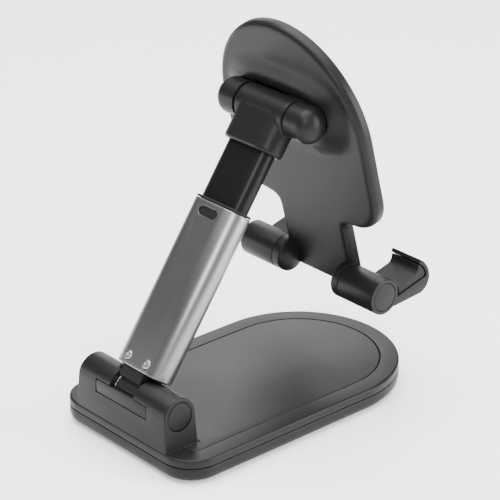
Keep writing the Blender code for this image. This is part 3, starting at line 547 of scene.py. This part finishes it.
def model_bottom_shell():
    """Lower shell, rounded in towards the desk, with the recess for its pad."""
    shell = base_piece("bottom_shell", 0.0, SHELL_BOTTOM_Z, SHELL_SPLIT[0])
    round_rim(shell, SHELL_BOTTOM_Z, UNDER_ROUND, 8)
    round_rim(shell, SHELL_SPLIT[0], FINE_ROUND, 2)
    cut(shell, base_piece("pocket", WALL, FLOOR_TOP_Z, BASE_TOP_Z))
    cut(shell, base_piece("recess", PAD_INSET, -PAD_RECESS_Z, PAD_RECESS_Z))
    finish_piece(shell, FINISHES["black_shell"], "base", "black_shell", "base_bottom_shell")


def barrel_block():
    """The hinge block: a round-topped bar, a little wider at its foot."""
    section = arc((0, 0), BARREL_RADIUS, 0, 180, 64)
    foot = BARREL_RADIUS + FOOT_FLARE
    section += [(-foot, -BLOCK_DEPTH), (foot, -BLOCK_DEPTH)]
    bar = extruded("hinge_bar", section, -EAR_HALF, EAR_HALF)
    round_rim(bar, -EAR_HALF, BLOCK_ROUND, 4)
    round_rim(bar, EAR_HALF, BLOCK_ROUND, 4)
    for vertex in bar.data.vertices:
        vertex.co.z *= 1 - FOOT_DRAFT * vertex.co.y / (HINGE_Z - BASE_TOP_Z)
    settle(bar, AT_HINGE @ SECTION)
    return bar


def model_top_shell():
    """Upper shell with its flat rim, hinge ears, axle bore, knuckle slot and cover window."""
    shell = base_piece("top_shell", 0.0, SHELL_SPLIT[1], BASE_TOP_Z)
    round_rim(shell, BASE_TOP_Z, RIM_ROUND, 6)
    round_rim(shell, SHELL_SPLIT[1], FINE_ROUND, 2)
    well = extruded("well", tombstone(INLAY_HALF + GAP, INLAY_REAR_Y + GAP, INLAY_CORNER + GAP),
                    INLAY_BOTTOM_Z - GAP, HINGE_Z)
    cut(well, block("notch", (-NOTCH_HALF, NOTCH_Y, 0), (NOTCH_HALF, BEYOND_REAR_Y, ABOVE_BASE_Z),
                    IN_WORLD))
    cut(shell, well)
    join(shell, barrel_block())
    outer = 1.5 * BARREL_RADIUS
    window = COVER_HALF + GAP
    cut(shell,
        block("slot", (-SLOT_HALF, -outer, SLOT_FLOOR), (SLOT_HALF, SLOT_WALL, outer), AT_HINGE),
        block("rear_notch", (-SLOT_HALF, 0, 0), (SLOT_HALF, outer, outer + GAP), AT_HINGE),
        block("window", (-window, WINDOW_WALL, COVER_BOTTOM - GAP),
              (window, outer, COVER_TOP + GAP), AT_HINGE),
        cylinder("bore", AXLE_BORE, -24 * MM, 24 * MM, AT_HINGE @ FACING_RIGHT, 48),
        cylinder("right_pocket", DISC_SEAT, POCKET_START, 25 * MM, AT_HINGE @ FACING_RIGHT),
        cylinder("left_pocket", DISC_SEAT, POCKET_START, 25 * MM, AT_HINGE @ FACING_LEFT))
    finish_piece(shell, FINISHES["black_shell"], "base", "black_shell", "base_top_shell")


def model_inlay():
    """Satin panel of the base, notched round the hinge block."""
    panel = extruded("inlay_panel", tombstone(INLAY_HALF, INLAY_REAR_Y, INLAY_CORNER),
                     INLAY_BOTTOM_Z, BASE_TOP_Z)
    round_rim(panel, BASE_TOP_Z, PIECE_ROUND, 4)
    cut(panel, block("notch", (-NOTCH_HALF - GAP, NOTCH_Y - GAP, 0),
                     (NOTCH_HALF + GAP, BEYOND_REAR_Y, ABOVE_BASE_Z), IN_WORLD))
    finish_piece(panel, FINISHES["satin_inlay"], "base", "satin_inlay", "base_inlay_panel")


def model_rear_cover():
    """Cover behind the knuckle, curved at its top like the barrel it closes."""
    section = [(COVER_INNER_Y, COVER_BOTTOM), (BARREL_RADIUS, COVER_BOTTOM)]
    section += arc((0, 0), BARREL_RADIUS, 0, 16.9, 12) + [(COVER_INNER_Y, COVER_TOP)]
    cover = extruded("rear_cover", section, -COVER_HALF, COVER_HALF)
    round_rim(cover, -COVER_HALF, FINE_ROUND, 3)
    round_rim(cover, COVER_HALF, FINE_ROUND, 3)
    settle(cover, AT_HINGE @ SECTION)
    finish_piece(cover, FINISHES["black_shell"], "base", "black_shell", "hinge_rear_cover")


def model_end_discs():
    """Dished discs that close the two ends of the hinge barrel."""
    for side, turn in (("right", FACING_RIGHT), ("left", FACING_LEFT)):
        disc = extruded(f"end_disc_{side}", arc((0, 0), DISC_RADIUS, 0, 357, 119),
                        DISC_START, EAR_HALF)
        round_rim(disc, EAR_HALF, PIECE_ROUND, 4)
        settle(disc, AT_HINGE @ turn)
        finish_piece(disc, FINISHES["black_shell"], "base", "black_shell",
                     f"hinge_end_disc_{side}")


# ---------------------------------------------------------------- arm

def hollow_bar(name, size, wall, span, rim):
    """A hollow bar with flat faces and half-round sides, offset from the arm's axis."""
    width, thickness = size
    low, high = span
    bar = extruded(name, stadium(width, thickness), low, high)
    round_rim(bar, high, rim, 4)
    round_rim(bar, low, rim, 4)
    cut(bar, extruded("hollow", stadium(width - 2 * wall, thickness - 2 * wall),
                      low - 1 * MM, high + 1 * MM))
    settle(bar, ALONG_ARM @ Matrix.Translation((0, ARM_OFFSET, 0)))
    return bar


def model_outer_tube():
    """Anodised outer tube with two countersunk screw holes and the stop's slot."""
    tube = hollow_bar("outer_bar", TUBE_SIZE, TUBE_WALL, TUBE_SPAN, TUBE_ROUND)
    for side in (1, -1):
        spot = Matrix.Translation((side * BRACKET_SCREW_X, 0, BRACKET_SCREW_S))
        cut(tube, cylinder("hole", BRACKET_SCREW_RADIUS, 3 * MM, 8 * MM,
                           ALONG_ARM @ spot @ FACING_BACK, 48))
    slot = (arc((STOP_REACH, 0), STOP_RADIUS, -90, 90, 16)
            + arc((-STOP_REACH, 0), STOP_RADIUS, 90, 270, 16))
    opening = extruded("opening", slot, -8 * MM, -3 * MM)
    settle(opening, ALONG_ARM @ Matrix.Translation((0, 0, STOP_S)) @ FACING_FRONT)
    cut(tube, opening)
    finish_piece(tube, FINISHES["grey_anodised"], "arm", "grey_anodised", "outer_tube")


def model_mouth_ring():
    """Wiper ring on the tube's mouth."""
    ring = extruded("mouth_ring", stadium(*RING_SIZE), *RING_SPAN)
    round_rim(ring, RING_SPAN[1], PIECE_ROUND, 4)
    cut(ring, extruded("ring_hole", stadium(*RING_HOLE), 60 * MM, 70 * MM))
    settle(ring, ALONG_ARM @ Matrix.Translation((0, ARM_OFFSET, 0)))
    finish_piece(ring, FINISHES["black_nylon"], "arm", "black_nylon", "tube_mouth_ring")


def model_inner_rod():
    """Black anodised inner bar."""
    rod = hollow_bar("inner_bar", ROD_SIZE, ROD_WALL, ROD_SPAN, SMALL_ROUND)
    finish_piece(rod, FINISHES["black_anodised"], "rod", "black_anodised", "inner_rod")


def model_collar():
    """Neck collar that blends up into the middle of the head's barrel."""
    collar = extruded("collar", stadium(*COLLAR_SIZE), *COLLAR_SPAN)
    round_rim(collar, COLLAR_SPAN[0], COLLAR_ROUND, 3)
    settle(collar, ALONG_ARM @ Matrix.Translation((0, ARM_OFFSET, 0)))
    middle = ALONG_ARM @ Matrix.Translation((0, 0, HEAD_AXIS_S)) @ FACING_RIGHT
    join(collar, cylinder("middle", BARREL_RADIUS, -MIDDLE_BARREL_HALF, MIDDLE_BARREL_HALF,
                          middle))
    soften(collar, COLLAR_BLEND, 10)
    socket = extruded("socket", stadium(ROD_SIZE[0] + GAP, ROD_SIZE[1] + GAP), 80 * MM,
                      ROD_SPAN[1] + GAP)
    settle(socket, ALONG_ARM @ Matrix.Translation((0, ARM_OFFSET, 0)))
    cut(collar, socket, cylinder("bore", AXLE_BORE, -20 * MM, 20 * MM, middle, 48))
    finish_piece(collar, FINISHES["black_shell"], "rod", "black_shell", "neck_collar")


# ---------------------------------------------------------------- head

def fairing(across, up):
    """How far the plate's back swells out around the barrel, at one point of the plate."""
    reach = abs(across) / SWELL_HALF
    lift = up - SWELL_CENTRE
    climb = abs(lift) / (SWELL_UP if lift > 0 else SWELL_DOWN)
    far = (reach ** SWELL_BEND + climb ** SWELL_BEND) ** (1 / SWELL_BEND)
    if far >= 1.0:
        return 0.0
    swell = min((1.0 - far) / SWELL_FLANK, 1.0)
    peak = SWELL_HEIGHT - SWELL_DROP * min(max(up / SWELL_DROP_OVER, 0.0), 1.0)
    return peak * swell * swell * (3 - 2 * swell)


def plate_rings():
    """Rings of the plate from the middle of its front to the middle of its back."""
    rings = [("flat", PAD_FLOOR, share / 8) for share in range(1, 9)]
    rings += [("edge", -PLATE_FRONT - RECESS_CHAMFER, RECESS_LIP[1]),
              ("edge", -PLATE_FRONT, RECESS_LIP[0])]
    for step in range(5):
        angle = radians(90 - 22.5 * step)
        rings.append(("edge", FRONT_ROUND * (sin(angle) - 1) - PLATE_FRONT,
                      FRONT_ROUND * (1 - cos(angle))))
    for step in range(9):
        angle = radians(90 - 11.25 * step)
        rings.append(("edge", BACK_ROUND * (1 - cos(angle)) - PLATE_BACK,
                      BACK_ROUND * (1 - sin(angle))))
    return rings + [("back", -PLATE_BACK, share / 44) for share in range(43, 0, -1)]


def model_plate():
    """Head plate, swollen round the barrel, cut for the barrel, collar and hook knuckles."""
    outline = even_steps(plate_outline(), PLATE_STEPS)
    count = len(outline)
    inward = []
    for index, point in enumerate(outline):
        along = (outline[(index + 1) % count] - outline[index - 1]).normalized()
        inward.append(Vector((-along.y, along.x)))
    middle = Vector((0.0, PLATE_ARCH_Z))
    if (outline[0] - middle).dot(inward[0]) > 0:
        inward = [-direction for direction in inward]
    rings = plate_rings()
    deselect()
    bpy.ops.mesh.primitive_uv_sphere_add(segments=count, ring_count=len(rings) + 1, radius=1.0)
    plate = bpy.context.object
    plate.name = "plate"
    for vertex in plate.data.vertices:
        ring = round(acos(max(-1.0, min(1.0, vertex.co.z))) / pi * (len(rings) + 1))
        index = round(atan2(vertex.co.y, vertex.co.x) / (2 * pi) * count) % count
        if ring == 0:
            vertex.co = (middle.x, middle.y, PAD_FLOOR)
        elif ring == len(rings) + 1:
            vertex.co = (middle.x, middle.y, -PLATE_BACK - fairing(*middle))
        else:
            kind, height, amount = rings[ring - 1]
            inset = {"edge": amount, "flat": PAD_EDGE, "back": BACK_ROUND}[kind]
            spot = outline[index] + inward[index] * inset
            if kind != "edge":
                spot = middle.lerp(spot, amount)
            if kind == "back":
                height -= fairing(*spot)
            vertex.co = (spot.x, spot.y, height)
    bpy.ops.object.mode_set(mode='EDIT')
    bpy.ops.mesh.select_all(action='SELECT')
    bpy.ops.mesh.normals_make_consistent(inside=False)
    bpy.ops.object.mode_set(mode='OBJECT')
    settle(plate, AT_HEAD @ FACING_FRONT)
    hollow = block("channel", (-SWING_HALF, CHANNEL_FLOOR, -SWING_REACH),
                   (SWING_HALF, 5 * MM, 0), AT_HEAD)
    join(hollow,
         block("swing", (-SWING_HALF, SWING_FRONT, SWING_BOTTOM),
               (SWING_HALF, SWING_BACK, SWING_REACH), AT_HEAD),
         cylinder("cradle", BARREL_RADIUS + 2 * GAP, -CAP_START, CAP_START,
                  AT_HEAD @ FACING_RIGHT),
         dome("right_cradle", GAP, FACING_RIGHT),
         dome("left_cradle", GAP, FACING_LEFT))
    for side, turn in (("right", FACING_RIGHT), ("left", FACING_LEFT)):
        join(plate, model_knuckle(side, turn))
        join(hollow, cylinder("pin_hole", PIN_BORE, PIN_START, 20 * MM, AT_HOOK @ turn, 48))
    cut(plate, hollow)
    finish_piece(plate, FINISHES["black_shell"], "head", "black_shell", "head_plate")


def domed(name, radius, start, shoulder, tip, place):
    """A cylinder whose far end is a flattened dome."""
    deselect()
    bpy.ops.mesh.primitive_uv_sphere_add(segments=96, ring_count=48, radius=1.0)
    thing = bpy.context.object
    thing.name = name
    for vertex in thing.data.vertices:
        across = Vector((vertex.co.x, vertex.co.y))
        rounded = vertex.co.z >= -0.001
        height = shoulder + (tip - shoulder) * vertex.co.z if rounded else start
        vertex.co = (across.x * radius, across.y * radius, height)
    settle(thing, place)
    return thing


def dome(name, growth, turn):
    """A domed end of the head's barrel, grown all round."""
    return domed(name, BARREL_RADIUS + growth, CAP_START - growth, CAP_SHOULDER,
                 CAP_TIP + growth, AT_HEAD @ turn)


def model_knuckle(side, turn):
    """Barrel beside the neck's foot that carries a hook's pin, domed on its inner end."""
    opposite = turn @ Matrix.Rotation(pi, 4, 'X')
    return domed(f"knuckle_{side}", HOOK_RADIUS, -DOME_START, -DOME_SHOULDER, -DOME_TIP,
                 AT_HOOK @ opposite)


def model_barrel_caps():
    """Domed ends of the head's barrel."""
    for side, turn in (("right", FACING_RIGHT), ("left", FACING_LEFT)):
        cap = dome(f"barrel_cap_{side}", 0.0, turn)
        cut(cap, cylinder("pocket", *CAP_POCKET, AT_HEAD @ turn, 64))
        finish_piece(cap, FINISHES["black_shell"], "head", "black_shell",
                     f"head_barrel_cap_{side}")


# ---------------------------------------------------------------- hooks

def tray_outline():
    """Side outline of the J-shaped tray, from inside its barrel round the lip and back."""
    inner = LIP_RADIUS - LIP_THICKNESS
    points = [(0.0, TRAY_FLOOR), (0.0, TRAY_ROOT)]
    points += arc((TRAY_CORNER_Y, LIP_CENTRE_Z), TRAY_CORNER, -90, -176, 24)
    points += arc((LIP_CENTRE_Y, LIP_CENTRE_Z), LIP_RADIUS, 180, LIP_END, 20)
    points += arc((LIP_CENTRE_Y, LIP_CENTRE_Z), inner, LIP_END, 172, 20)
    return points + arc((LIP_CENTRE_Y - inner + TRAY_INNER_ROUND, TRAY_FLOOR + TRAY_INNER_ROUND),
                        TRAY_INNER_ROUND, 210, 270, 8)


def liner_outline():
    """Side outline of the silicone liner on the tray's floor and up its lip."""
    outer = LIP_RADIUS - LIP_THICKNESS - GAP
    low = TRAY_FLOOR + GAP
    points = [(LINER_START_Y, 0.0), (LINER_START_Y, low)]
    points += arc((LIP_CENTRE_Y - outer + LINER_INNER_ROUND, low + LINER_INNER_ROUND),
                  LINER_INNER_ROUND, 270, 190, 10)
    points += arc((LIP_CENTRE_Y, LIP_CENTRE_Z), outer, 172, LIP_END + 6, 18)
    return points + arc((LINER_CORNER_Y, LINER_CORNER), LINER_CORNER, 180, 270, 16)


def model_hook(side, sign):
    """One hook: barrel with its tray, the liner in the tray and the disc in its end."""
    turn = FACING_RIGHT if sign > 0 else FACING_LEFT
    low, high = sorted((sign * TRAY_START, sign * HOOK_END))
    tray = extruded(f"tray_{side}", tray_outline(), low, high)
    round_rim(tray, low, TRAY_ROUND, 4)
    round_rim(tray, high, TRAY_ROUND, 4)
    settle(tray, AT_HOOK @ SECTION)
    barrel_end = HOOK_END - SKIN
    barrel = extruded("barrel", arc((0, 0), HOOK_RADIUS, 0, 357, 119), HOOK_START, barrel_end)
    round_rim(barrel, barrel_end, PIECE_ROUND, 4)
    round_rim(barrel, HOOK_START, SMALL_ROUND, 3)
    settle(barrel, AT_HOOK @ turn)
    join(tray, barrel)
    cut(tray,
        cylinder("bore", PIN_BORE, 10 * MM, 40 * MM, AT_HOOK @ turn, 48),
        cylinder("pocket", *PIN_POCKET, 40 * MM, AT_HOOK @ turn, 48),
        cylinder("seat", DISC_SEAT, HOOK_END - DISC_THICKNESS - GAP, 40 * MM, AT_HOOK @ turn))
    finish_piece(tray, FINISHES["black_shell"], f"{side}_hook", "black_shell", f"hook_{side}")
    low, high = sorted((sign * (TRAY_START + LINER_SIDE_GAP), sign * (HOOK_END - LINER_SIDE_GAP)))
    liner = extruded(f"liner_{side}", liner_outline(), low, high)
    round_rim(liner, low, PIECE_ROUND, 4)
    round_rim(liner, high, PIECE_ROUND, 4)
    settle(liner, AT_HOOK @ SECTION)
    finish_piece(liner, FINISHES["black_silicone"], f"{side}_hook", "black_silicone",
                 f"hook_liner_{side}")
    disc = extruded(f"hook_disc_{side}", arc((0, 0), DISC_RADIUS, 0, 357, 119),
                    HOOK_END - DISC_THICKNESS, HOOK_END)
    round_rim(disc, HOOK_END, PIECE_ROUND, 4)
    settle(disc, AT_HOOK @ turn)
    finish_piece(disc, FINISHES["black_shell"], f"{side}_hook", "black_shell",
                 f"hook_end_disc_{side}")


# ---------------------------------------------------------------- operators

class STAND_OT_finishes(bpy.types.Operator):
    """Make the procedural finishes and dress the pieces kept from the frame"""
    bl_idname = "stand.finishes"
    bl_label = "Make finishes"

    def execute(self, context):
        make_finishes()
        for row in frame["record"]["subparts"]:
            dress(row["node"], FINISHES[row["material_slot"]])
        return {'FINISHED'}


class STAND_OT_base(bpy.types.Operator):
    """Model the finer shells of the base"""
    bl_idname = "stand.base"
    bl_label = "Model base"

    def execute(self, context):
        model_bottom_shell()
        model_top_shell()
        model_inlay()
        model_rear_cover()
        model_end_discs()
        return {'FINISHED'}


class STAND_OT_arm(bpy.types.Operator):
    """Model the finer tube, ring, inner bar and collar"""
    bl_idname = "stand.arm"
    bl_label = "Model arm"

    def execute(self, context):
        model_outer_tube()
        model_mouth_ring()
        model_inner_rod()
        model_collar()
        return {'FINISHED'}


class STAND_OT_head(bpy.types.Operator):
    """Model the finer head plate and its barrel caps"""
    bl_idname = "stand.head"
    bl_label = "Model head"

    def execute(self, context):
        model_plate()
        model_barrel_caps()
        return {'FINISHED'}


class STAND_OT_hooks(bpy.types.Operator):
    """Model the two folding hooks with their liners"""
    bl_idname = "stand.hooks"
    bl_label = "Model hooks"

    def execute(self, context):
        model_hook("right", 1)
        model_hook("left", -1)
        return {'FINISHED'}


def soft_light(name, place, target, size, power):
    """A square soft light at a place, turned to a target."""
    deselect()
    bpy.ops.object.light_add(type='AREA', location=place)
    light = bpy.context.object
    light.name = name
    light.data.shape = 'RECTANGLE'
    light.data.size, light.data.size_y = size
    light.data.energy = power
    aim = Vector(target) - Vector(place)
    light.rotation_euler = aim.to_track_quat('-Z', 'Y').to_euler()


class STAND_OT_studio(bpy.types.Operator):
    """Set up the pale floor, the soft lights and the camera"""
    bl_idname = "stand.studio"
    bl_label = "Set up studio"

    def execute(self, context):
        settings = context.scene.stand_settings
        deselect()
        bpy.ops.mesh.primitive_plane_add(size=settings.floor_size, location=(0, 0, FLOOR_Z))
        floor = context.object
        floor.name = "studio_floor"
        paper = bpy.data.materials.new("pale_paper")
        paper.use_nodes = True
        shader = paper.node_tree.nodes["Principled BSDF"]
        shader.inputs["Base Color"].default_value = (0.95, 0.95, 0.95, 1.0)
        shader.inputs["Roughness"].default_value = 0.9
        shader.inputs["Emission Color"].default_value = (1.0, 1.0, 1.0, 1.0)
        shader.inputs["Emission Strength"].default_value = 0.35
        floor.data.materials.append(paper)
        world = bpy.data.worlds.new("studio_air")
        world.use_nodes = True
        air = world.node_tree.nodes["Background"]
        air.inputs["Color"].default_value = (1.0, 1.0, 1.0, 1.0)
        air.inputs["Strength"].default_value = 0.16
        context.scene.world = world
        for name, place, target, size, share in LIGHTS:
            soft_light(name, place, target, size, settings.light_power * share)
        deselect()
        place = Vector(CAMERA_PLACE)
        bpy.ops.object.camera_add(location=place)
        camera = context.object
        camera.name = "studio_camera"
        aim = Vector(CAMERA_AIM) - place
        camera.rotation_euler = aim.to_track_quat('-Z', 'Y').to_euler()
        camera.data.lens = CAMERA_LENS
        camera.data.sensor_width = 36.0
        context.scene.camera = camera
        return {'FINISHED'}


class STAND_PT_panel(bpy.types.Panel):
    """Sidebar panel with the stand's settings and steps"""
    bl_idname = "STAND_PT_panel"
    bl_label = "Phone stand"
    bl_space_type = 'VIEW_3D'
    bl_region_type = 'UI'
    bl_category = "Phone stand"

    def draw(self, context):
        settings = context.scene.stand_settings
        for name in StandSettings.__annotations__:
            self.layout.prop(settings, name)
        for step in STEPS:
            self.layout.operator(step.bl_idname)


STEPS = (STAND_OT_finishes, STAND_OT_base, STAND_OT_arm, STAND_OT_head, STAND_OT_hooks,
         STAND_OT_studio)
CLASSES = (StandSettings, *STEPS, STAND_PT_panel)


def register():
    """Add the settings, operators and panel."""
    for kind in CLASSES:
        bpy.utils.register_class(kind)
    bpy.types.Scene.stand_settings = bpy.props.PointerProperty(type=StandSettings)


def unregister():
    """Remove the settings, operators and panel."""
    del bpy.types.Scene.stand_settings
    for kind in reversed(CLASSES):
        bpy.utils.unregister_class(kind)


def main():
    """Run every step in order."""
    register()
    bpy.ops.stand.finishes()
    bpy.ops.stand.base()
    bpy.ops.stand.arm()
    bpy.ops.stand.head()
    bpy.ops.stand.hooks()
    bpy.ops.stand.studio()


if __name__ == "__main__":
    main()
